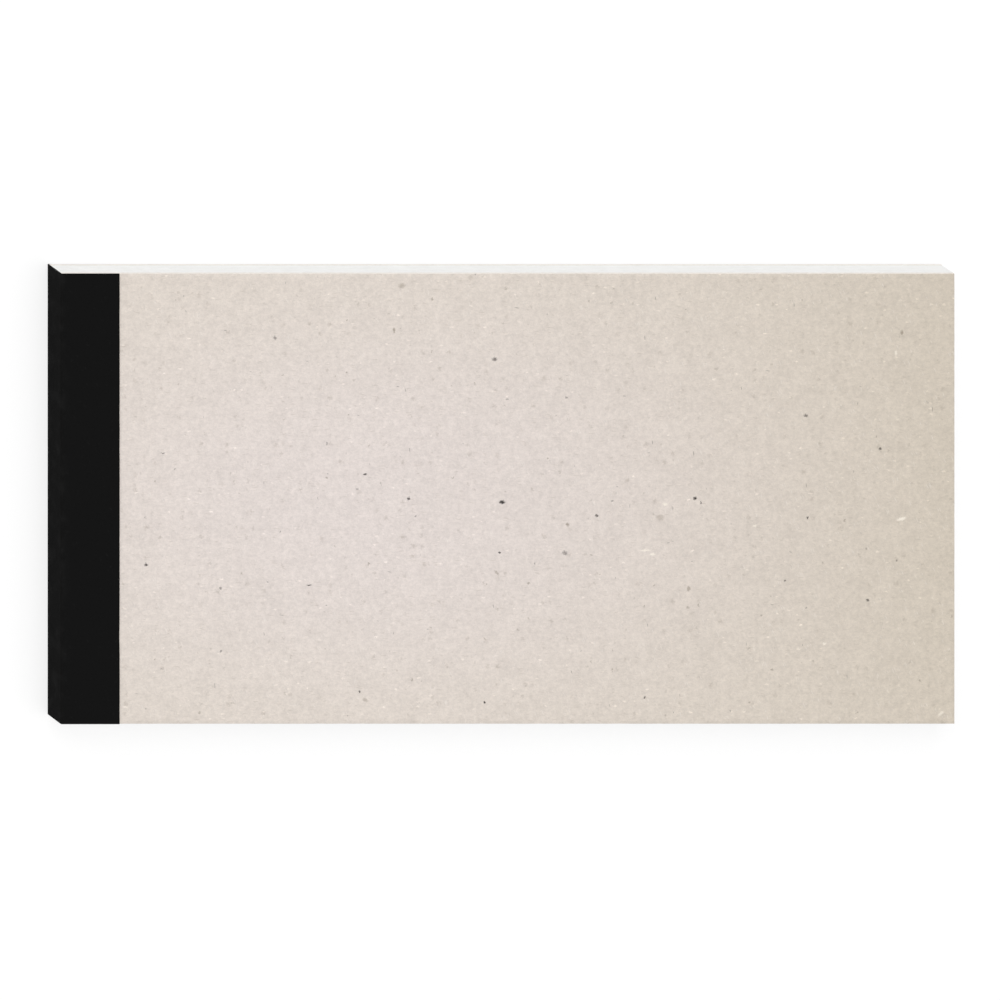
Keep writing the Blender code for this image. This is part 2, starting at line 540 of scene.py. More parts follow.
BOLD_FLECKS = (
    Fleck(x=-1.2, y=-0.8, length=1.5, width=1.0, depth=0.96),
    Fleck(x=42.4, y=0.1, length=1.05, width=0.85, depth=0.95),
    Fleck(x=43.8, y=-0.9, length=0.4, width=0.7, depth=0.8),
    Fleck(x=-32.2, y=5.5, length=1.0, width=0.56, depth=0.99),
    Fleck(x=-5.2, y=-46.1, length=0.52, width=0.7, depth=0.99),
    Fleck(x=-81.9, y=-15.0, length=0.85, width=0.85, depth=0.92),
    Fleck(x=-22.4, y=0.0, length=1.0, width=0.8, depth=0.84),
    Fleck(x=-1.8, y=-12.2, length=0.66, width=0.54, depth=0.92),
    Fleck(x=-33.5, y=-43.7, length=0.55, width=0.55, depth=0.96),
    Fleck(x=20.2, y=-3.8, length=0.88, width=0.78, depth=0.76),
    Fleck(x=-44.9, y=-19.6, length=1.5, width=0.2, depth=0.9),
    Fleck(x=81.6, y=-23.0, length=0.88, width=0.76, depth=0.73),
    Fleck(x=-2.9, y=31.6, length=1.3, width=1.1, depth=0.66),
    Fleck(x=84.4, y=11.3, length=0.85, width=0.68, depth=0.74),
    Fleck(x=31.1, y=-45.0, length=0.5, width=0.7, depth=0.8),
    Fleck(x=67.6, y=18.8, length=1.2, width=0.75, depth=0.68, turn=24.0),
    Fleck(x=68.0, y=-4.4, length=0.5, width=0.8, depth=0.86),
    Fleck(x=13.0, y=-12.3, length=1.4, width=1.3, depth=0.54),
    Fleck(x=-78.1, y=10.3, length=1.3, width=0.24, depth=0.86),
    Fleck(x=-52.7, y=36.4, length=0.8, width=1.0, depth=0.55),
    Fleck(x=62.8, y=-18.6, length=0.6, width=0.56, depth=0.8),
)

SMUDGED_FLECKS = (
    Fleck(x=-23.9, y=48.2, length=1.9, width=1.4, depth=0.46, turn=-15.0),
    Fleck(x=34.6, y=-4.3, length=2.1, width=1.6, depth=0.36),
    Fleck(x=41.0, y=-20.4, length=1.0, width=1.4, depth=0.56),
    Fleck(x=13.6, y=-5.9, length=1.0, width=0.85, depth=0.74, turn=40.0),
    Fleck(x=89.3, y=37.6, length=0.8, width=1.2, depth=0.74),
    Fleck(x=-32.2, y=-45.6, length=1.8, width=0.95, depth=0.42, turn=40.0),
    Fleck(x=-25.7, y=38.1, length=0.6, width=1.6, depth=0.7),
    Fleck(x=-2.5, y=-16.8, length=1.6, width=0.6, depth=0.56, turn=45.0),
)

PALE_SLIVERS = (
    Fleck(x=89.2, y=-4.6, length=2.4, width=0.9, depth=0.72, turn=-15.0),
    Fleck(x=31.1, y=-11.7, length=2.8, width=0.45, depth=0.62),
    Fleck(x=32.8, y=-12.6, length=1.6, width=0.7, depth=0.62),
    Fleck(x=98.1, y=-48.7, length=2.1, width=0.8, depth=0.48, turn=-40.0),
    Fleck(x=88.0, y=33.0, length=0.7, width=1.5, depth=0.58),
    Fleck(x=35.7, y=-1.3, length=1.3, width=0.7, depth=0.66, turn=15.0),
    Fleck(x=71.8, y=-32.9, length=1.1, width=0.6, depth=0.58),
    Fleck(x=55.9, y=-6.2, length=1.3, width=0.7, depth=0.48),
)


@dataclass(frozen=True)
class Finish:
    """A surface: a Principled shader with its constants, and patterns that the subclass wires."""

    name: str
    specular: float
    metallic: float = 0.0
    relief_depth: float = 0.03 * MM
    relief_strength: float = 0.4

    def place(self, graph: Graph) -> Socket:
        """Return where the pattern is read, in millimetres of the object's own space."""
        return graph.scaled(graph.node("ShaderNodeTexCoord").outputs["Object"], PER_MM)

    def sheet_place(self, graph: Graph) -> Socket:
        """Return where the pattern is read, in millimetres along the sheet itself."""
        return graph.scaled(graph.node("ShaderNodeUVMap", uv_map=Skin.SHEET_MAP).outputs["UV"], PER_MM)

    def flecked(
        self, graph: Graph, place: Socket, colour: Socket, scatter: Scatter, strength: Ramp, shade: Colour
    ) -> Socket:
        """Return a colour with flecks of a shade, each as strong as its random tone on the ramp says."""
        mask, tone = scatter.put(graph, place)
        return graph.laid(colour, shade, mask, graph.ramped(tone, strength))

    def dress(self, graph: Graph) -> tuple[Socket, Socket, Socket]:
        """Wire the patterns.

        Args:
            graph: The finish's nodes.

        Returns:
            The colour, the roughness and the height of the relief.
        """
        raise NotImplementedError

    def material(self) -> bpy.types.Material:
        """Build the material the first time it is asked for.

        Returns:
            The material.
        """
        made = bpy.data.materials.get(self.name)
        if made is not None:
            return made
        made = bpy.data.materials.new(self.name)
        made.use_nodes = True
        graph = Graph(made.node_tree)
        colour, roughness, height = self.dress(graph)
        relief = {"Strength": self.relief_strength, "Distance": self.relief_depth, "Height": height}
        feeds = {
            "Base Color": colour,
            "Roughness": roughness,
            "Metallic": self.metallic,
            "Specular IOR Level": self.specular,
            "Normal": graph.node("ShaderNodeBump", relief).outputs["Normal"],
        }
        for label, value in feeds.items():
            graph.feed(made.node_tree.nodes["Principled BSDF"].inputs[label], value)
        return made


@dataclass(frozen=True)
class ChipboardFinish(Finish):
    """Unlined grey chipboard: recycled pulp with soft patches, fibres and flecks.

    It is palest in an oval near the middle, with a deeper tone round it. Towards the fore-edge it grows
    warmer and darker: partly the board's own tone, partly painted shade that stands in for the light falling
    off away from the lamp on the spine side.
    """

    face_level: float = 0.0
    relief_depth: float = 0.02 * MM
    relief_strength: float = 0.35
    bold_flecks: tuple[Fleck, ...] = BOLD_FLECKS
    smudged: tuple[Fleck, ...] = SMUDGED_FLECKS
    slivers: tuple[Fleck, ...] = PALE_SLIVERS
    pale: Colour = paint(229.2, 219.4, 215.1)
    bordered: Colour = paint(224.4, 214.8, 205.2)
    # fore-edge colour: the board's warmer tone, darkened by painted shade for the light's falloff
    toned_and_falloff_shade: Colour = paint(210.9, 200.4, 185.6)
    cut_pale: Colour = paint(240, 235, 229)
    cut_dark: Colour = paint(226, 219, 210)
    light_fibre: Colour = paint(244, 238, 232)
    dark_fibre: Colour = paint(176, 164, 150)
    fleck_brown: Colour = paint(150, 138, 123)
    fleck_dark: Colour = paint(40, 36, 34)
    sliver_white: Colour = paint(255, 247, 234)
    palest: Triple = (-10.0, -1.0, 0.0)
    pale_reach: Triple = (101.0, 44.0, 400.0)
    border_ramp: Ramp = Ramp(0.15, 1.48)
    # how the fore-edge tone and painted shade grow from the spine to the fore-edge
    fore_edge_shade_ramp: Ramp = Ramp(-100.0, 101.0)
    fore_edge_shade_curve: float = 2.6
    rag_waves: float = 3.2
    rag: float = 0.5
    pulp: FibreCloud = FibreCloud(patch=4.5, grain=0.6, run=1.3)
    dust: FibreCloud = FibreCloud(patch=1.5, grain=0.25, run=1.15)
    fibres_along: Strands = Strands(turn=0.05, length=2.6, width=0.24, share=0.1)
    fibres_across: Strands = Strands(turn=1.2, length=2.0, width=0.24, share=0.1)
    hairs_along: Strands = Strands(turn=0.15, length=1.5, width=0.22, share=0.0008)
    hairs_across: Strands = Strands(turn=1.45, length=1.7, width=0.22, share=0.0012)
    hair_strength: float = 0.5
    chips: Scatter = Scatter(cell=1.3, share=0.8, radius=0.25, ragged=0.3, core=0.3, run=1.9)
    smudges: Scatter = Scatter(cell=2.1, share=0.95, radius=0.42, ragged=0.5, core=0.0)
    specks: Scatter = Scatter(cell=2.4, share=0.48, radius=0.18, ragged=0.3, core=0.2)
    dark_specks: Scatter = Scatter(cell=3.4, share=0.22, radius=0.13, ragged=0.25)
    hidden_flecks: Scatter = Scatter(cell=6.0, share=0.15, radius=0.13, ragged=0.06)
    hidden_strength: Ramp = Ramp(0.0, 1.0, 0.6, 0.97)
    hidden_depth: float = 0.3
    cloud_shade: Ramp = Ramp(0.3, 0.7, 0.98, 1.02)
    grain_shade: Ramp = Ramp(0.25, 0.75, 0.955, 1.045)
    patch_shade: Ramp = Ramp(0.3, 0.7, 0.965, 1.035)
    dust_shade: Ramp = Ramp(0.25, 0.75, 0.957, 1.043)
    along_strength: float = 0.28
    across_strength: float = 0.35
    chip_lift: Ramp = Ramp(0.0, 1.0, 0.03, 0.24)
    smudge_strength: Ramp = Ramp(0.1, 1.0, 0.04, 0.33)
    speck_strength: Ramp = Ramp(0.0, 1.0, 0.1, 0.65)
    dark_strength: Ramp = Ramp(0.0, 1.0, 0.1, 0.5)
    ply_waves: Triple = (1.3, 1.3, 9.0)
    ply_ramp: Ramp = Ramp(0.35, 0.7)
    nap: Ramp = Ramp(0.2, 0.8, 0.84, 1.0)

    def tone(self, graph: Graph, place: Socket) -> Socket:
        """Tone the pulp by the distance from the palest place, in ovals, and then darken it towards the
        fore-edge with the board's own tone and painted shade for the light's falloff.

        Args:
            graph: The finish's nodes.
            place: Where it is read.

        Returns:
            The pulp's colour, with painted shade towards the fore-edge.
        """
        away = graph.vector("SUBTRACT", place, self.palest)
        oval = graph.reach(graph.vector("DIVIDE", away, self.pale_reach))
        colour = graph.mixed(graph.ramped(oval, self.border_ramp), self.pale, self.bordered)
        x, _, _ = graph.parts(place)
        # painted shade, partly board tone: darker and warmer towards the fore-edge, as the light falls off
        outward = graph.math("POWER", graph.ramped(x, self.fore_edge_shade_ramp, soft=False), self.fore_edge_shade_curve)
        return graph.mixed(outward, colour, self.toned_and_falloff_shade)

    def bold(self, graph: Graph, place: Socket, colour: Socket) -> Socket:
        """Lay the bold flecks over a colour: the placed ones on the front face, scattered ones below it.

        Args:
            graph: The finish's nodes.
            place: Where they are read.
            colour: The colour under them.

        Returns:
            The flecked colour.
        """
        face = self.face_level * PER_MM
        ragged = graph.vector("SUBTRACT", graph.shaken(place, self.rag_waves, self.rag), (0.0, 0.0, face))
        layers = (
            (self.smudged, self.fleck_brown),
            (self.slivers, self.sliver_white),
            (self.bold_flecks, self.fleck_dark),
        )
        for flecks, shade in layers:
            for fleck in flecks:
                (mask,) = fleck.put(graph, ragged)
                colour = graph.mixed(mask, colour, shade)
        _, _, z = graph.parts(place)
        level = face - self.hidden_depth
        hidden = graph.ranged(z, level - self.hidden_depth, level, 1.0, 0.0)
        mask, tone = self.hidden_flecks.put(graph, place)
        strength = graph.math("MULTIPLY", graph.ramped(tone, self.hidden_strength), hidden)
        return graph.laid(colour, self.fleck_dark, mask, strength)

    def dress(self, graph: Graph) -> tuple[Socket, Socket, Socket]:
        """Build up the pulp from its tone to its flecks, then the cut edge.

        Args:
            graph: The finish's nodes.

        Returns:
            The colour, the roughness and the height of the relief.
        """
        place = self.place(graph)
        patches, grains = self.pulp.put(graph, place)
        broad, dust = self.dust.put(graph, place)
        (along,) = self.fibres_along.put(graph, place)
        (across,) = self.fibres_across.put(graph, place)
        chips, chance = self.chips.put(graph, place)
        lifted = graph.math("MULTIPLY", chips, graph.ramped(chance, self.chip_lift))
        shade = graph.folded(
            "MULTIPLY",
            graph.ramped(grains, self.grain_shade),
            graph.ramped(broad, self.patch_shade),
            graph.ramped(dust, self.dust_shade),
            graph.ramped(patches, self.cloud_shade),
            graph.math("ADD", lifted, 1.0),
        )
        colour = graph.scaled(self.tone(graph, place), shade)
        colour = graph.laid(colour, self.dark_fibre, along, self.along_strength)
        colour = graph.laid(colour, self.light_fibre, across, self.across_strength)
        colour = self.flecked(graph, place, colour, self.smudges, self.smudge_strength, self.fleck_brown)
        colour = self.flecked(graph, place, colour, self.specks, self.speck_strength, self.fleck_brown)
        colour = self.flecked(graph, place, colour, self.dark_specks, self.dark_strength, self.fleck_dark)
        for lay in (self.hairs_along, self.hairs_across):
            (hairs,) = lay.put(graph, place)
            colour = graph.laid(colour, self.fleck_dark, hairs, self.hair_strength)
        colour = self.bold(graph, place, colour)

        cut = graph.node("ShaderNodeAttribute", attribute_name=Skin.CUT_EDGE).outputs["Fac"]
        plies = graph.noise(graph.vector("MULTIPLY", place, self.ply_waves), 1.0).outputs[0]
        layered = graph.mixed(graph.ramped(plies, self.ply_ramp), self.cut_pale, self.cut_dark)
        height = graph.folded("ADD", grains, dust, along, across)
        return (graph.mixed(cut, colour, layered), graph.ramped(grains, self.nap), height)


@dataclass(frozen=True)
class VoucherForm:
    """A plain printed form, in millimetres from the middle of the leaf.

    Two boxes stand at its head, over a line, a ruled table with columns for the amount, a box for the sum
    and a row of lines to sign on.
    """

    left: float = -70.0
    right: float = 94.0
    head_left: float = 54.0
    head_tops: tuple[float, float] = (43.0, 33.0)
    head_height: float = 7.0
    line_level: float = 18.0
    table_top: float = 6.0
    table_rows: int = 5
    row_height: float = 6.0
    amount_left: float = 58.0
    amount_split: float = 82.0
    sign_level: float = -42.0
    sign_length: float = 42.0
    sign_pitch: float = 61.0
    sign_lines: int = 3

    def boxes(self) -> tuple[FormBox, ...]:
        """List the form's boxes and lines from its head down.

        Returns:
            The boxes, and each line as a box of no height.
        """
        rules = [self.table_top - row * self.row_height for row in range(self.table_rows + 1)]
        bottom = rules[-1]
        starts = [self.left + turn * self.sign_pitch for turn in range(self.sign_lines)]
        return (
            *(FormBox(self.head_left, self.right, top - self.head_height, top) for top in self.head_tops),
            FormBox(self.left, self.right, self.line_level, self.line_level),
            FormBox(self.left, self.right, bottom, self.table_top),
            FormBox(self.amount_left, self.amount_split, bottom, self.table_top),
            *(FormBox(self.left, self.right, level, level) for level in rules[1:-1]),
            FormBox(self.amount_left, self.right, bottom - self.row_height, bottom),
            *(FormBox(start, start + self.sign_length, self.sign_level, self.sign_level) for start in starts),
        )


@dataclass(frozen=True)
class PaperFinish(Finish):
    """White uncoated writing paper, printed on the front with a plain form of boxes and lines."""

    relief_depth: float = 0.006 * MM
    relief_strength: float = 0.3
    form: VoucherForm = VoucherForm()
    white: Colour = paint(247, 247, 246)
    shaded: Colour = paint(240, 240, 238)
    fibre: Colour = paint(228, 227, 222)
    ink: Colour = paint(92, 104, 132)
    clouding: FibreCloud = FibreCloud(patch=3.0, grain=0.3, run=1.6)
    clouding_ramp: Ramp = Ramp(0.3, 0.7)
    fibres: Strands = Strands(turn=0.3, length=1.4, width=0.12, share=0.12)
    fibre_strength: float = 0.3
    ink_wear: Ramp = Ramp(0.25, 0.6, 0.7, 1.0)
    nap: Ramp = Ramp(0.2, 0.8, 0.84, 0.98)

    def dress(self, graph: Graph) -> tuple[Socket, Socket, Socket]:
        """Build up the sheet's clouding and fibres, then the printed form.

        Args:
            graph: The finish's nodes.

        Returns:
            The colour, the roughness and the height of the relief.
        """
        place = self.sheet_place(graph)
        patches, grains = self.clouding.put(graph, place)
        (fibres,) = self.fibres.put(graph, place)
        colour = graph.mixed(graph.ramped(patches, self.clouding_ramp), self.white, self.shaded)
        colour = graph.laid(colour, self.fibre, fibres, self.fibre_strength)
        printed = graph.folded("MAXIMUM", *(box.put(graph, place)[0] for box in self.form.boxes()))
        colour = graph.laid(colour, self.ink, printed, graph.ramped(grains, self.ink_wear))
        return (colour, graph.ramped(grains, self.nap), graph.math("ADD", grains, fibres))


@dataclass(frozen=True)
class BookclothFinish(Finish):
    """Black binding cloth: a tight filled weave, a little lint, and a faint rub where it folds."""

    black: Colour = paint(18, 18, 18)
    thread: Colour = paint(24, 24, 24)
    rubbed: Colour = paint(36, 36, 36)
    lint: Colour = paint(70, 70, 70)
    thread_pitch: float = 0.42
    fill: FibreCloud = FibreCloud(patch=4.0, grain=0.35, run=1.0)
    slack_waves: float = 1.1
    slack: float = 0.12
    lint_scatter: Scatter = Scatter(cell=3.0, share=0.1, radius=0.05, ragged=0.4)
    lint_strength: Ramp = Ramp(0.0, 1.0, 0.25, 0.4)
    hairs: Strands = Strands(turn=0.8, length=1.6, width=0.08, share=0.01)
    hair_strength: float = 0.35
    fill_ramp: Ramp = Ramp(0.3, 0.7, 0.2, 1.0)
    rub_ramp: Ramp = Ramp(0.45, 0.7, 0.0, 0.35)
    weave_ramp: Ramp = Ramp(-1.0, 1.0)
    sheen: Ramp = Ramp(0.0, 1.0, 0.95, 0.75)

    def dress(self, graph: Graph) -> tuple[Socket, Socket, Socket]:
        """Cross two waves of threads for the weave, then add the fill, the rub and the lint.

        Args:
            graph: The finish's nodes.

        Returns:
            The colour, the roughness and the height of the relief.
        """
        place = self.sheet_place(graph)
        patches, grains = self.fill.put(graph, place)
        loose = graph.shaken(place, self.slack_waves, self.slack)
        around, along, _ = graph.parts(graph.scaled(loose, FULL_TURN / self.thread_pitch))
        weave = graph.math("MULTIPLY", graph.math("SINE", around), graph.math("SINE", along))
        raised = graph.ramped(weave, self.weave_ramp, soft=False)
        (hairs,) = self.hairs.put(graph, place)
        fold = graph.node("ShaderNodeAttribute", attribute_name=Skin.FOLD).outputs["Fac"]
        colour = graph.laid(self.black, self.thread, raised, graph.ramped(grains, self.fill_ramp))
        colour = graph.laid(colour, self.rubbed, fold, graph.ramped(patches, self.rub_ramp))
        colour = graph.laid(colour, self.lint, hairs, self.hair_strength)
        colour = self.flecked(graph, place, colour, self.lint_scatter, self.lint_strength, self.lint)
        return (colour, graph.ramped(raised, self.sheen), graph.math("ADD", raised, grains))


@dataclass(frozen=True)
class WireFinish(Finish):
    """Galvanised stitching wire: bright zinc with drawing marks along it and dull patches."""

    relief_depth: float = 0.008 * MM
    zinc: Colour = paint(205, 205, 202)
    dull: Colour = paint(160, 161, 160)
    zinc_cloud: FibreCloud = FibreCloud(patch=0.7, grain=0.12, run=6.0)
    drawing_marks: Strands = Strands(turn=0.0, length=2.4, width=0.05, share=0.4)
    dull_ramp: Ramp = Ramp(0.4, 0.7)
    polish: Ramp = Ramp(0.3, 1.5, 0.28, 0.53)

    def dress(self, graph: Graph) -> tuple[Socket, Socket, Socket]:
        """Mix dull patches into the zinc and draw fine marks along the wire.

        Args:
            graph: The finish's nodes.

        Returns:
            The colour, the roughness and the height of the relief.
        """
        place = self.sheet_place(graph)
        patches, grains = self.zinc_cloud.put(graph, place)
        (marks,) = self.drawing_marks.put(graph, place)
        scored = graph.math("ADD", grains, marks)
        colour = graph.mixed(graph.ramped(patches, self.dull_ramp), self.zinc, self.dull)
        return (colour, graph.ramped(scored, self.polish), scored)


def soft_noise(chance: np.random.Generator, shape: tuple[int, ...], passes: int) -> Values:
    """Average white noise with its neighbours, a number of times, and scale it to a spread of one.

    Args:
        chance: Where the noise comes from.
        shape: Shape of the result.
        passes: How many times it is averaged.

    Returns:
        The smooth noise.
    """
    values = chance.standard_normal(shape)
    for axis in list(range(values.ndim)) * passes:
        for way in (1, -1):
            values = (values + np.roll(values, way, axis)) / 2
    return values / values.std()


def lengths_along(line: Points) -> Values:
    """Return the distance along a line of points to each of them."""
    return np.concatenate([[0.0], np.cumsum(np.linalg.norm(np.diff(line, axis=0), axis=1))])


def together(*numbers: Any) -> Points:
    """Return points made of their coordinates, each an array or one number for all of them."""
    return np.stack(np.broadcast_arrays(*numbers), axis=-1)


def quads_between(rings: Indices) -> Indices:
    """Join each closed ring of points to the next.

    Args:
        rings: The points' numbers, one row for each ring.

    Returns:
        Four numbers for each quad.
    """
    beside = np.roll(rings, -1, axis=1)
    return together(rings[:-1], rings[1:], beside[1:], beside[:-1]).reshape(-1, 4)


@dataclass
class Skin:
    """Points and faces of one closed surface, with the marks that a finish reads.

    Each corner of each face, quads first, has its own place on the sheet.
    """

    SHEET_MAP: ClassVar[str] = "sheet_place"
    CUT_EDGE: ClassVar[str] = "cut_edge"
    FOLD: ClassVar[str] = "fold"

    points: Points
    quads: Indices
    triangles: Indices
    places: Points
    marks: dict[str, Values]
    crease: float = math.radians(40)

    def piece(self, name: str, finish: Finish, slot: Slot) -> bpy.types.Object:
        """Put the surface into a new object.

        Args:
            name: The object's name.
            finish: Its finish.
            slot: The record's slot that the finish belongs to; not used.

        Returns:
            The object, at the origin.
        """
        faces = (self.quads, self.triangles)
        corners = np.concatenate([face.ravel() for face in faces])
        sides = np.concatenate([np.full(len(face), face.shape[1]) for face in faces])
        mesh = bpy.data.meshes.new(name)
        mesh.vertices.add(len(self.points))
        mesh.vertices.foreach_set("co", self.points.ravel())
        mesh.loops.add(len(corners))
        mesh.loops.foreach_set("vertex_index", corners)
        mesh.polygons.add(len(sides))
        mesh.polygons.foreach_set("loop_start", np.cumsum(sides) - sides)
        mesh.update(calc_edges=True)
        layer = mesh.uv_layers.new(name=self.SHEET_MAP)
        layer.uv.foreach_set("vector", self.places.ravel())
        for mark, values in self.marks.items():
            mesh.attributes.new(mark, "FLOAT", "POINT").data.foreach_set("value", values)
        mesh.shade_smooth()
        mesh.set_sharp_from_angle(angle=self.crease)
        mesh.materials.append(finish.material())
        made = bpy.data.objects.new(name, mesh)
        bpy.context.scene.collection.objects.link(made)
        return made


@dataclass
class ClosedSheet:
    """A sheet with two faces: a front grid, a back grid, and a rim of rings carried round their borders.

    Both grids have one point for each pair of parameters. Seen from the front, the second parameter
    lies anticlockwise of the first. A rim ring lies a share of the way from the front border to the
    back border and stands out from them. An opening leaves a cell out of both faces and walls it.
    The back's places on the sheet are shifted clear of the front's, and so may the edge's be.
    """

    front: Points
    back: Points
    places: Points
    rim_down: Values
    rim_out: Values
    openings: Optional[Flags] = None
    back_shift: float = 1.0
    edge_shift: float = 0.0

    @staticmethod
    def walk(rows: int, columns: int) -> tuple[Indices, Indices]:
        """List the border of a grid, anticlockwise from its first corner.

        Args:
            rows: The grid's rows.
            columns: The grid's columns.

        Returns:
            The row and the column of each border point.
        """
        up, along = np.arange(rows - 1), np.arange(columns - 1)
        row = [up, np.full_like(along, rows - 1), up[::-1] + 1, np.zeros_like(along)]
        column = [np.zeros_like(up), along, np.full_like(up, columns - 1), along[::-1] + 1]
        return (np.concatenate(row), np.concatenate(column))

    def outward(self) -> Points:
        """Find the way out of the sheet, along it, from each point of the front grid.

        Returns:
            A unit step for each side that a border point lies on, and zero inside the border.
        """
        rows = np.diff(self.front, axis=0)
        columns = np.diff(self.front, axis=1)
        rows /= np.linalg.norm(rows, axis=2, keepdims=True)
        columns /= np.linalg.norm(columns, axis=2, keepdims=True)
        out = np.zeros_like(self.front)
        out[0] -= rows[0]
        out[-1] += rows[-1]
        out[:, 0] -= columns[:, 0]
        out[:, -1] += columns[:, -1]
        return out

    def walls(self, cells: Indices, count: int) -> Indices:
        """Wall the openings between the two faces.

        Args:
            cells: The front grid's cells, four points each, anticlockwise.
            count: How many points the front grid has.

        Returns:
            One quad for each side of an opening that borders the sheet.
        """
        padded = np.pad(self.openings, 1)
        beside = (padded[1:-1, :-2], padded[2:, 1:-1], padded[1:-1, 2:], padded[:-2, 1:-1])
        ahead = np.roll(cells, -1, axis=-1)
        made = []
        for side, neighbour in enumerate(beside):
            edge = self.openings & ~neighbour
            start, stop = cells[edge][:, side], ahead[edge][:, side]
            made.append(together(start, stop, stop + count, start + count))
        return np.concatenate(made)

    def skin(self, marks: Optional[dict[str, Values]] = None) -> Skin:
        """Join the two faces, the rim and the openings' walls.

        Args:
            marks: Named values for each point of the front grid, repeated on the back.

        Returns:
            The closed surface. Its cut_edge mark is 1 on the rim and 0 on the faces.
        """
        rows, columns = self.front.shape[:2]
        count = rows * columns
        number = np.arange(count).reshape(rows, columns)
        cells = together(number[:-1, :-1], number[1:, :-1], number[1:, 1:], number[:-1, 1:])
        if self.openings is None:
            self.openings = np.zeros(cells.shape[:2], dtype=bool)
        shown = cells[~self.openings]

        walk = self.walk(rows, columns)
        border = number[walk]
        down = self.rim_down[:, None, None]
        rings = self.front[walk] * (1.0 - down) + self.back[walk] * down
        rings = rings + self.outward()[walk] * self.rim_out[..., None]
        ring_number = 2 * count + np.arange(len(self.rim_down) * len(border)).reshape(-1, len(border))
        rim = np.concatenate([border[None], ring_number, border[None] + count])
        rim_quads = quads_between(rim)

        walls = self.walls(cells, count)
        flat_places = self.places.reshape(-1, 2)
        ring_places = np.tile(flat_places[border], (len(self.rim_down), 1))
        edge_places = np.concatenate([flat_places, flat_places, ring_places]) + (0.0, self.edge_shift)
        corner_places = [
            flat_places[shown],
            flat_places[shown[:, ::-1]] + (0.0, self.back_shift),
            edge_places[rim_quads],
            edge_places[walls],
        ]
        found = {Skin.CUT_EDGE: np.concatenate([np.zeros(2 * count), np.ones(ring_number.size)])}
        for mark, values in (marks or {}).items():
            flat = values.ravel()
            found[mark] = np.concatenate([flat, flat, np.tile(flat[border], len(self.rim_down))])
        return Skin(
            points=np.concatenate([grid.reshape(-1, 3) for grid in (self.front, self.back, rings)]),
            quads=np.concatenate([shown, shown[:, ::-1] + count, rim_quads, walls]),
            triangles=np.zeros((0, 3), dtype=int),
            places=np.concatenate(corner_places).reshape(-1, 2),
            marks=found,
        )


@dataclass
class CoverBoard:
    """A cover board: a flat slab of chipboard with softened edges and a slightly furred cut."""

    node: str
    name: str
    body: Body
    finish: ChipboardFinish
    seed: int
    cell: float = 1.0 * MM
    edge_radius: float = 0.07 * MM
    unevenness: float = 0.012 * MM
    fur: float = 0.018 * MM
    round_steps: int = 3
    cut_steps: int = 3
    smooth_passes: int = 3
    fur_passes: int = 1

    def rim(self, thickness: float) -> tuple[Values, Values]:
        """Work out the edge's section: a quarter round, the straight cut, and another quarter round.

        Args:
            thickness: The board's thickness.

        Returns:
            How far down the edge each ring lies, as a share, and how far out it stands.
        """
        turn = np.linspace(0.0, QUARTER_TURN, self.round_steps + 1)[1:]
        drop = self.edge_radius * (1.0 - np.cos(turn)) / thickness
        out = self.edge_radius * np.sin(turn)
        straight = np.linspace(drop[-1], 1.0 - drop[-1], self.cut_steps + 2)[1:-1]
        down = np.concatenate([drop, straight, 1.0 - drop[::-1]])
        return (down, np.concatenate([out, np.full(self.cut_steps, self.edge_radius), out[::-1]]))

    def skin(self) -> Skin:
        """Build the slab.

        Both faces are a plane less the low side of smooth noise, and the rim's rings stand out by its
        section less more noise.

        Returns:
            The closed surface.
        """
        chance = np.random.default_rng(self.seed)
        low, high = (np.array(corner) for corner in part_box(self.node))
        inner_low, inner_high = low + self.edge_radius, high - self.edge_radius
        steps = np.round((inner_high - inner_low) / self.cell).astype(int)
        along = np.linspace(inner_low[0], inner_high[0], steps[0] + 1)
        across = np.linspace(inner_low[1], inner_high[1], steps[1] + 1)
        x, y = np.meshgrid(along, across, indexing="ij")
        relief = self.unevenness * soft_noise(chance, (2, *x.shape), self.smooth_passes)
        front = together(x, y, high[2] + np.minimum(relief[0], 0.0))
        back = together(x, y, low[2] - np.minimum(relief[1], 0.0))
        down, out = self.rim(high[2] - low[2])
        border = len(ClosedSheet.walk(*x.shape)[0])
        furred = out[:, None] - self.fur * np.abs(soft_noise(chance, (len(out), border), self.fur_passes))
        return ClosedSheet(front, back, together(x, y), down, furred).skin()

    def build(self) -> bpy.types.Object:
        """Build the board and set it on its body.

        Returns:
            The board.
        """
        board = self.skin().piece(self.name, self.finish, Slot.CHIPBOARD)
        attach(board, self.body.value)
        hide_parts(self.node)
        LOG.info("%s rides on %s", board.name, self.body.value)
        return board


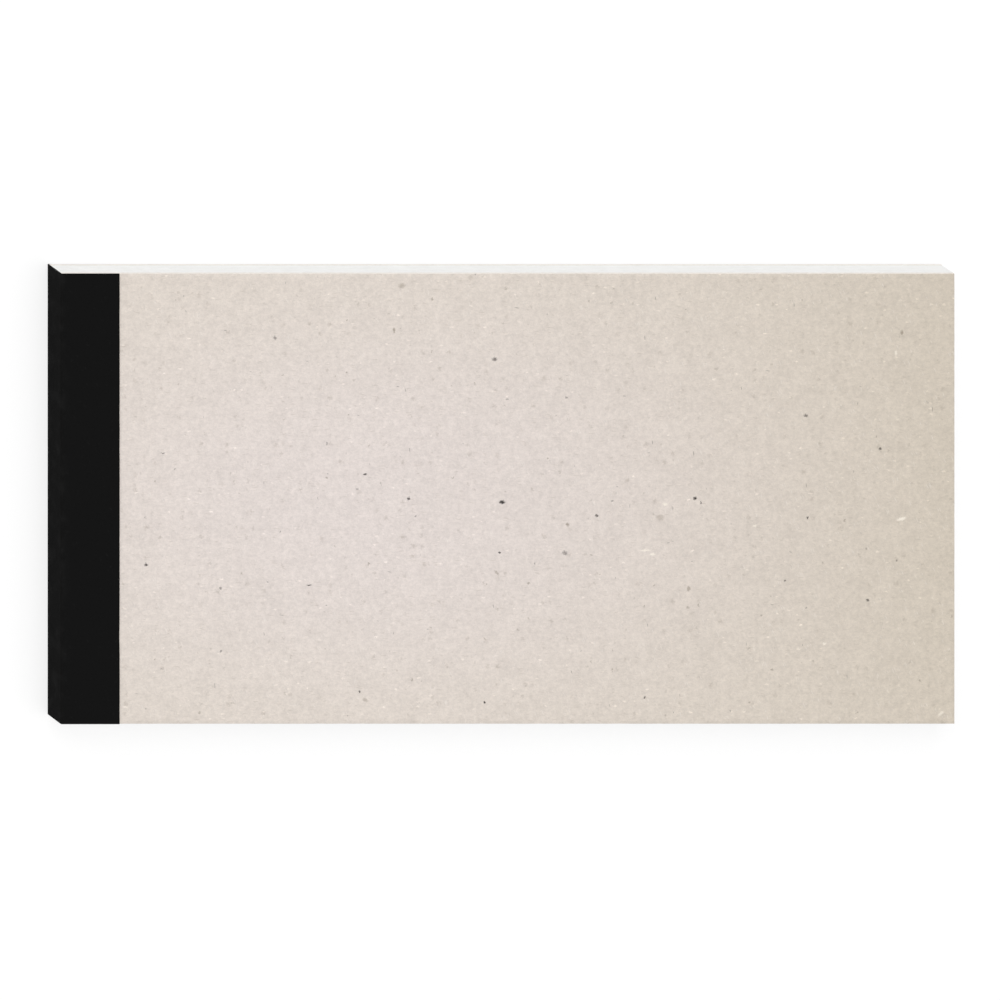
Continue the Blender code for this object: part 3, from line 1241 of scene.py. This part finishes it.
@dataclass
class BindingTape:
    """The black tape: one strip of cloth from the front board, round the spine, to the back board."""

    finish: BookclothFinish
    name: str = "spine_tape"
    inner_radius: float = 0.03 * MM
    hinge_reach: float = 0.5 * MM
    hinge_rows: int = 12
    fold_rows: int = 6
    lap_rows: int = 13
    spine_rows: int = 12
    cross_step: float = 1.0 * MM
    edge_swell: float = 0.025 * MM
    edge_rings: tuple[float, float] = (0.25, 0.75)
    wander: float = 0.02 * MM
    wander_passes: int = 4
    wander_curve: float = 4.0
    lap_shy: float = 0.14 * MM
    puff: float = 0.006 * MM
    puff_passes: int = 2
    rub_reach: float = 4.0
    seed: int = 7

    @property
    def thickness(self) -> float:
        """The tape's thickness on the front board."""
        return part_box("tape_front_arm")[1].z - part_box("front_board")[1].z

    @property
    def hinge(self) -> float:
        """The height of the line that the cover turns about."""
        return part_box("leaf_01")[1].z

    def section(self, low: Vector, high: Vector, inset: float) -> Points:
        """Draw the strip's section in X and Z at a depth under its outer face.

        It runs in under the back board, up the spine and out over the front board: two laps, two quarter
        rounds about the fold centres and a straight spine, with closer rows where the cover hinges.

        Args:
            low: The tape's lowest corner.
            high: The tape's highest corner.
            inset: Depth under the outer face.

        Returns:
            The points of the section.
        """
        bend = self.thickness + self.inner_radius
        fold_x, low_z, high_z = low.x + bend, low.z + bend, high.z - bend
        radius = bend - inset
        under, over = self.hinge - self.hinge_reach, self.hinge + self.hinge_reach
        lap = np.linspace(high.x, fold_x, self.lap_rows, endpoint=False)
        turn = np.linspace(0.0, QUARTER_TURN, self.fold_rows + 1)
        spine = np.linspace(low_z, under, self.spine_rows, endpoint=False)[1:]
        up = np.concatenate([spine, np.linspace(under, over, self.hinge_rows + 1)])
        return np.concatenate([
            together(lap, low.z + inset),
            together(fold_x - radius * np.sin(turn), low_z - radius * np.cos(turn)),
            together(low.x + inset, up),
            together(fold_x - radius * np.cos(turn), high_z + radius * np.sin(turn)),
            together(lap[::-1], high.z - inset),
        ])

    def skin(self) -> Skin:
        """Carry the section along Y, with a slightly wandering lap edge and a soft swell on the outer face.

        Returns:
            The closed surface.
        """
        chance = np.random.default_rng(self.seed)
        low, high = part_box("tape_spine_arm")[0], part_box("tape_front_arm")[1]
        outer, inner = self.section(low, high, 0.0), self.section(low, high, self.thickness)
        across = np.linspace(low.y, high.y, round((high.y - low.y) / self.cross_step) + 1)
        front, back = (together(line[:, :1], across, line[:, 1:]) for line in (outer, inner))
        drift = self.wander * soft_noise(chance, (2, len(across)), self.wander_passes)
        inward = front[..., 0] - low.x
        lapped = np.clip(inward / (high.x - low.x), 0.0, 1.0) ** self.wander_curve
        upper = front[..., 2] > (low.z + high.z) / 2
        shift = -np.abs(np.where(upper, drift[0], drift[1])) * lapped
        shy = np.where(upper, 0.0, self.lap_shy) * np.clip(inward / self.thickness - 1.0, 0.0, 1.0)
        drawn_in = 1.0 - shy / ((high.y - low.y) / 2)
        for face in (front, back):
            face[..., 0] += shift
            face[..., 1] *= drawn_in
        normal = np.cross(np.gradient(front, axis=0), np.gradient(front, axis=1))
        normal /= np.linalg.norm(normal, axis=2, keepdims=True)
        swell = self.puff * np.abs(soft_noise(chance, front.shape[:2], self.puff_passes))
        front -= normal * swell[..., None]
        folded = np.exp(-(((front[..., 0] - low.x) / (self.rub_reach * self.thickness)) ** 2))
        down = np.array(self.edge_rings)
        out = np.full((len(down), 1), self.edge_swell)
        places = together(lengths_along(outer)[:, None], across)
        return ClosedSheet(front, back, places, down, out).skin({Skin.FOLD: folded})

    def build(self) -> bpy.types.Object:
        """Build the tape, with close rows where the cover hinges.

        Returns:
            The tape.
        """
        tape = self.skin().piece(self.name, self.finish, Slot.TAPE)
        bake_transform(tape)
        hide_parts("tape_front_arm", "tape_spine_arm")
        LOG.info("%s bends from %s to %s", tape.name, Body.BLOCK.value, Body.COVER.value)
        return tape


@dataclass
class WireStitch:
    """One wire stitch: a round staple with its crown on the leaves and its ends clinched under the board."""

    node: str
    name: str
    finish: WireFinish
    bend: float = 0.55 * MM
    clinch: float = 4.6 * MM
    sides: int = 14
    bend_steps: int = 7
    run_steps: int = 8
    tip_share: float = 0.72

    @property
    def radius(self) -> float:
        """Half the wire's thickness."""
        low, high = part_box(self.node)
        return (high.x - low.x) / 2

    @property
    def place_x(self) -> float:
        """The wire's place along X."""
        low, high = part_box(self.node)
        return (low.x + high.x) / 2

    def path(self) -> Points:
        """Draw the centre line in Y and Z.

        It runs through a clinch, a leg, the crown, a leg and a clinch, with a quarter round at each corner.

        Returns:
            The points of the centre line.
        """
        low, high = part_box(self.node)
        leg = (high.y - low.y) / 2 - self.radius
        middle = (high.y + low.y) / 2
        bottom, top = low.z + self.radius, high.z - self.radius
        turn = np.linspace(0.0, QUARTER_TURN, self.bend_steps + 1)
        run = np.linspace(0.0, 1.0, self.run_steps, endpoint=False)
        inner = leg - self.bend
        clinched = leg - self.clinch + (self.clinch - self.bend) * run
        half = np.concatenate([
            together(clinched, bottom),
            together(inner + self.bend * np.sin(turn), bottom + self.bend * (1 - np.cos(turn))),
            together(inner + self.bend * np.cos(turn), top - self.bend * (1 - np.sin(turn))),
            together(inner * (1.0 - run[1:]), top),
        ])
        other = half[::-1] * (-1.0, 1.0)
        crown_middle = np.array([[0.0, top]])
        return np.concatenate([half, crown_middle, other]) + (middle, 0.0)

    def skin(self) -> Skin:
        """Carry a circle along the centre line, smaller at the two cut ends, and close each end at a point.

        Returns:
            The closed surface.
        """
        line = self.path()
        ahead = np.gradient(line, axis=0)
        ahead /= np.linalg.norm(ahead, axis=1, keepdims=True)
        turn = np.linspace(0.0, FULL_TURN, self.sides, endpoint=False)
        girth = np.full(len(line), self.radius)
        girth[[0, -1]] *= self.tip_share
        aside = together(0.0, -ahead[:, 1], ahead[:, 0])
        across = np.array([1.0, 0.0, 0.0])
        centre = together(self.place_x, line[:, 0], line[:, 1])
        around = np.cos(turn)[:, None] * aside[:, None] + np.sin(turn)[:, None] * across
        rings = centre[:, None] + girth[:, None, None] * around
        number = np.arange(rings.shape[0] * self.sides).reshape(-1, self.sides)
        quads = quads_between(number)
        start = together(number[0], np.roll(number[0], -1), number.size)
        stop = together(np.roll(number[-1], -1), number[-1], number.size + 1)
        ends = np.concatenate([start, stop])
        run = lengths_along(line)
        places = together(run[:, None], self.radius * np.sin(turn))
        places = np.concatenate([places.reshape(-1, 2), [[0.0, 0.0], [run[-1], 0.0]]])
        return Skin(
            points=np.concatenate([rings.reshape(-1, 3), centre[[0, -1]]]),
            quads=quads,
            triangles=ends,
            places=places[np.concatenate([quads.ravel(), ends.ravel()])],
            marks={},
        )

    def build(self) -> bpy.types.Object:
        """Build the stitch and set it in the block.

        Returns:
            The stitch.
        """
        stitch = self.skin().piece(self.name, self.finish, Slot.WIRE)
        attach(stitch, Body.BLOCK.value)
        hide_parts(self.node)
        LOG.info("%s rides on %s", stitch.name, Body.BLOCK.value)
        return stitch


@dataclass
class LeafStack:
    """The fifty leaves: whole sheets, stitched at the margin, that bend up at the crease.

    They tear at a row of slits.
    """

    GRID_DIGITS: ClassVar[int] = 6
    TRIMMED_EDGES: ClassVar[int] = 3

    finish: PaperFinish
    stitches: tuple[WireStitch, ...]
    bend_zone: float = 8.0 * MM
    bend_rows: int = 16
    tear_inset: float = 24.0 * MM
    slit_width: float = 0.2 * MM
    slit_length: float = 3.0 * MM
    slit_pitch: float = 4.2 * MM
    slit_margin: float = 2.0 * MM
    press_reach: float = 2.6 * MM
    press_fall: float = 0.9 * MM
    press_rows: int = 11
    press_curve: float = 1.6
    press_ends: tuple[float, ...] = (-1.0, -0.4, 0.0, 0.4, 1.0)
    margin_rows: int = 4
    free_rows: int = 10
    trim_spread: float = 0.05 * MM
    edge_shift: float = 0.2
    edge_step: float = 0.013
    clearance: float = 0.03 * MM
    seed: int = 19

    @property
    def tear(self) -> float:
        """The tear line's place along X."""
        return CAD_BOX[0].x + self.tear_inset

    def slit_count(self, span: float) -> int:
        """Return how many slits fit along a sheet's edge."""
        return math.floor((span - 2 * self.slit_margin) / self.slit_pitch)

    def grid_lines(self, *places: Any) -> Values:
        """Return places in order, with none twice."""
        return np.unique(np.round(np.concatenate(places), self.GRID_DIGITS))

    def lines_along(self, spine: float, crease: float, fore_edge: float) -> Values:
        """Place the grid's lines from spine to fore-edge, closer at the stitches, the bend and the slits.

        Args:
            spine: The sheet's bound edge.
            crease: Where the bend starts.
            fore_edge: The sheet's free edge.

        Returns:
            The places along X.
        """
        spread = np.linspace(-1.0, 1.0, self.press_rows)
        curved = np.sign(spread) * np.abs(spread) ** self.press_curve
        near_stitch = self.stitches[0].place_x + self.press_reach * curved
        return self.grid_lines(
            np.linspace(spine, near_stitch[0], self.margin_rows),
            near_stitch,
            np.linspace(near_stitch[-1], crease, self.margin_rows),
            np.linspace(crease, crease + self.bend_zone, self.bend_rows + 1),
            [self.tear - self.slit_width / 2, self.tear + self.slit_width / 2],
            np.linspace(self.tear + self.bend_zone, fore_edge, self.free_rows),
        )

    def lines_across(self, tail: float, head: float) -> Values:
        """Place the grid's lines from tail to head, at the ends of the slits and of the stitches' crowns.

        Args:
            tail: The sheet's lower edge.
            head: The sheet's upper edge.

        Returns:
            The places along Y.
        """
        slits = self.slit_count(head - tail)
        centres = (np.arange(slits) - (slits - 1) / 2) * self.slit_pitch
        ends = np.array([corner.y for stitch in self.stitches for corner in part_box(stitch.node)])
        near_ends = ends[:, None] + np.array(self.press_ends) * self.press_fall
        half = self.slit_length / 2
        return self.grid_lines([tail, head], centres - half, centres + half, near_ends.ravel())

    def slits(self, along: Values, across: Values) -> Flags:
        """Find the cells of the grid that the tear line's slits leave open.

        Args:
            along: The grid's places along X.
            across: The grid's places along Y.

        Returns:
            True for each open cell.
        """
        x = (along[1:] + along[:-1]) / 2
        y = (across[1:] + across[:-1]) / 2
        count = self.slit_count(across[-1] - across[0])
        turn = y / self.slit_pitch + (count - 1) / 2
        nearest = np.round(turn)
        in_slit = np.abs(turn - nearest) * self.slit_pitch < self.slit_length / 2
        in_slit &= (nearest >= 0) & (nearest < count)
        at_tear = np.abs(x - self.tear) < self.slit_width / 2
        return at_tear[:, None] & in_slit[None]

    def pressed(self, x: Values, y: Values) -> Values:
        """Work out how far the crowns press the margin down, as a share of the wire's thickness.

        Full under a crown, falling off as a bell curve with the distance from it.

        Args:
            x: Places along X.
            y: Places along Y.

        Returns:
            The share at each place.
        """
        share = np.zeros_like(x)
        for stitch in self.stitches:
            low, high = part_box(stitch.node)
            aside = np.maximum(np.abs(x - stitch.place_x) - stitch.radius, 0.0)
            past = np.maximum(np.abs(y - (low.y + high.y) / 2) - (high.y - low.y) / 2, 0.0)
            share = np.maximum(share, np.exp(-(aside**2 + past**2) / self.press_fall**2))
        return share

    def build(self) -> list[bpy.types.Object]:
        """Build every leaf, with close rows where it bends at the crease.

        A leaf's two faces are flat, lowered by the crowns in proportion to their height in the stack.

        Returns:
            The leaves from the top of the stack down.
        """
        chance = np.random.default_rng(self.seed)
        names = sorted(node for node in frame["nodes"] if node.startswith("leaf_"))
        margin_low, margin_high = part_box("bound_margin")
        first_low, first_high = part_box(names[0])
        floor, top = margin_low.z, margin_high.z
        trims = chance.uniform(0.0, self.trim_spread, (len(names), self.TRIMMED_EDGES))
        crease = next(joint for joint in frame["joints"] if joint["child"] == names[0])["pos_m"][0]
        wire = 2 * self.stitches[0].radius + self.clearance
        made = []
        for row, (name, (fore_trim, tail_trim, head_trim)) in enumerate(zip(names, trims)):
            low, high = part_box(name)
            along = self.lines_along(margin_low.x, crease, first_high.x - fore_trim)
            across = self.lines_across(first_low.y + tail_trim, first_high.y - head_trim)
            x, y = np.meshgrid(along, across, indexing="ij")
            sunk = wire * self.pressed(x, y)
            upper = high.z - sunk * (high.z - floor) / (top - floor)
            lower = low.z - sunk * (low.z - floor) / (top - floor)
            sheet = ClosedSheet(
                front=together(x, y, upper),
                back=together(x, y, lower),
                places=together(x, y),
                rim_down=np.zeros(0),
                rim_out=np.zeros((0, 1)),
                openings=self.slits(along, across),
                edge_shift=self.edge_shift + row * self.edge_step,
            )
            leaf = sheet.skin().piece(name.replace("leaf_", "leaf_sheet_"), self.finish, Slot.PAPER)
            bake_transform(leaf)
            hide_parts(*([name, "bound_margin"] if name == names[0] else [name]))
            LOG.info("%s bends from %s to %s", leaf.name, Body.BLOCK.value, name)
            made.append(leaf)
        return made


@dataclass
class Studio:
    """A pale floor, a white surround, two soft lamps, and a long lens that looks straight at the front face.

    The film stays parallel to the face, so the face keeps its square corners while the spine and the head
    show beside it, as with a shifted view camera. The edges are pixels of a frame that is frame_size wide.
    """

    FLOOR_FACE: ClassVar[tuple[int, ...]] = (0, 2, 3, 1)
    SEEN_RAYS: ClassVar[tuple[str, ...]] = ("Is Camera Ray", "Is Glossy Ray", "Is Transmission Ray")

    frame_size: float = 1000.0
    face_left: float = 61.0
    face_right: float = 954.1
    face_top: float = 273.2
    face_bottom: float = 724.1
    spine_shown: float = 14.2
    head_shown: float = 10.2
    distance: float = 8.0
    view_depth: float = 32.0
    sensor: float = 36.0
    floor_reach: float = 4.0
    floor_drop: float = 0.03 * MM
    floor_colour: Colour = (0.8, 0.8, 0.8, 1.0)
    floor_seen: Colour = (0.36, 0.36, 0.36, 1.0)
    floor_glow: float = 0.68
    white: Colour = (1.0, 1.0, 1.0, 1.0)
    surround: Ramp = Ramp(0.0, 1.0, 0.62, 1.0)
    key_strength: float = 1.36
    key_from: Triple = (-0.35, 0.9, 0.8)
    fill_strength: float = 0.35
    fill_from: Triple = (0.8, -0.5, 1.0)
    lamp_spread: float = math.radians(70)

    def seen(self, graph: Graph) -> Socket:
        """Return 1 for what shows directly, in a reflection or through glass, and 0 for other light."""
        path = graph.node("ShaderNodeLightPath").outputs
        return graph.folded("MAXIMUM", *(path[ray] for ray in self.SEEN_RAYS))

    def build_floor(self) -> bpy.types.Object:
        """Lay a flat floor just under the book, white to the eye but keeping the book's shadow.

        Returns:
            The floor.
        """
        reach = np.array([-self.floor_reach, self.floor_reach])
        x, y = np.meshgrid(reach, reach, indexing="ij")
        corners = together(x, y, -self.floor_drop).reshape(-1, 3)
        mesh = bpy.data.meshes.new("studio_floor")
        mesh.from_pydata(corners.tolist(), [], [self.FLOOR_FACE])
        material = bpy.data.materials.new("studio_floor")
        material.use_nodes = True
        graph = Graph(material.node_tree)
        graph.tree.nodes.clear()
        bounce = graph.node("ShaderNodeBsdfDiffuse", {"Color": self.floor_colour}).outputs[0]
        matt = graph.node("ShaderNodeBsdfDiffuse", {"Color": self.floor_seen}).outputs[0]
        glow = graph.node("ShaderNodeEmission", {"Strength": self.floor_glow}).outputs[0]
        bright = graph.node("ShaderNodeAddShader", {0: matt, 1: glow}).outputs[0]
        either = graph.node("ShaderNodeMixShader", {0: self.seen(graph), 1: bounce, 2: bright})
        graph.node("ShaderNodeOutputMaterial", {"Surface": either.outputs[0]})
        mesh.materials.append(material)
        floor = bpy.data.objects.new("studio_floor", mesh)
        bpy.context.scene.collection.objects.link(floor)
        return floor

    def build_surround(self) -> None:
        """Set an even white surround: full white to the eye, part of the light on the object."""
        world = bpy.data.worlds.new("studio_surround")
        world.use_nodes = True
        graph = Graph(world.node_tree)
        graph.tree.nodes.clear()
        strength = graph.ramped(self.seen(graph), self.surround, soft=False)
        light = graph.node("ShaderNodeBackground", {"Strength": strength, "Color": self.white})
        graph.node("ShaderNodeOutputWorld", {"Surface": light.outputs[0]})
        bpy.context.scene.world = world

    def build_lamp(self, name: str, strength: float, place: Triple) -> bpy.types.Object:
        """Hang a wide soft lamp that lights the whole floor alike.

        Args:
            name: The lamp's name.
            strength: Its strength.
            place: Where its light comes from.

        Returns:
            The lamp.
        """
        lamp = bpy.data.lights.new(name, "SUN")
        lamp.energy = strength
        lamp.angle = self.lamp_spread
        made = bpy.data.objects.new(name, lamp)
        made.location = place
        made.rotation_mode = "QUATERNION"
        made.rotation_quaternion = Vector(place).to_track_quat("Z", "Y")
        bpy.context.scene.collection.objects.link(made)
        return made

    def build_camera(self) -> bpy.types.Object:
        """Hang the camera so that the face's edges, the spine and the head fall on their pixels.

        The way to the camera leans by the shown spine over the thickness in X, and by the shown head in Y.
        A parent's inverse holds that lean, and the lens gives the face its width in the frame.

        Returns:
            The camera.
        """
        low, high = CAD_BOX
        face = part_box("front_board")[1].z
        across = (self.face_right - self.face_left) / (high.x - low.x)
        down = (self.face_bottom - self.face_top) / (high.y - low.y)
        scale = (across + down) / 2
        lean_x = self.spine_shown / scale / (high.z - low.z)
        lean_y = self.head_shown / scale / (high.z - low.z)
        target_x = (self.frame_size - self.face_left - self.face_right) / 2 / scale
        target_y = (self.face_top + self.face_bottom - self.frame_size) / 2 / scale
        lens = bpy.data.cameras.new("photo_camera")
        lens.sensor_width = self.sensor
        reach = self.distance * math.sqrt(1.0 + lean_x**2 + lean_y**2)
        lens.lens = self.sensor * scale * reach / self.frame_size
        lens.clip_end = self.view_depth
        camera = bpy.data.objects.new("photo_camera", lens)
        mast = bpy.data.objects.new("camera_mast", None)
        for made in (mast, camera):
            bpy.context.scene.collection.objects.link(made)
        camera.parent = mast
        lean = Matrix.Identity(4)
        lean[0][2] = -lean_x
        lean[1][2] = lean_y
        camera.matrix_parent_inverse = lean
        camera.location = (target_x + lean_x * face, target_y - lean_y * face, face + self.distance)
        bpy.context.scene.camera = camera
        return camera

    def build(self) -> None:
        """Build the camera, the floor, the surround and the lamps."""
        self.build_camera()
        self.build_floor()
        self.build_surround()
        self.build_lamp("key_lamp", self.key_strength, self.key_from)
        self.build_lamp("fill_lamp", self.fill_strength, self.fill_from)
        bpy.context.scene.view_settings.view_transform = "Standard"
        LOG.info("studio is set")


def main() -> None:
    """Build the studio and the book's pieces in order."""
    logging.basicConfig(level=logging.INFO, format="%(message)s")
    Studio().build()
    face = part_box("front_board")[1].z
    chipboard = ChipboardFinish("grey_chipboard", specular=0.2, face_level=face)
    CoverBoard("front_board", "front_cover_board", Body.COVER, chipboard, seed=3).build()
    CoverBoard("back_board", "back_cover_board", Body.BLOCK, chipboard, seed=4).build()
    BindingTape(BookclothFinish("black_bookcloth", specular=0.02)).build()
    wire = WireFinish("galvanised_wire", specular=0.5, metallic=1.0)
    stitches = (
        WireStitch("wire_stitch_head", "head_stitch", wire),
        WireStitch("wire_stitch_tail", "tail_stitch", wire),
    )
    for stitch in stitches:
        stitch.build()
    LeafStack(PaperFinish("voucher_paper", specular=0.25), stitches).build()


if __name__ == "__main__":
    main()
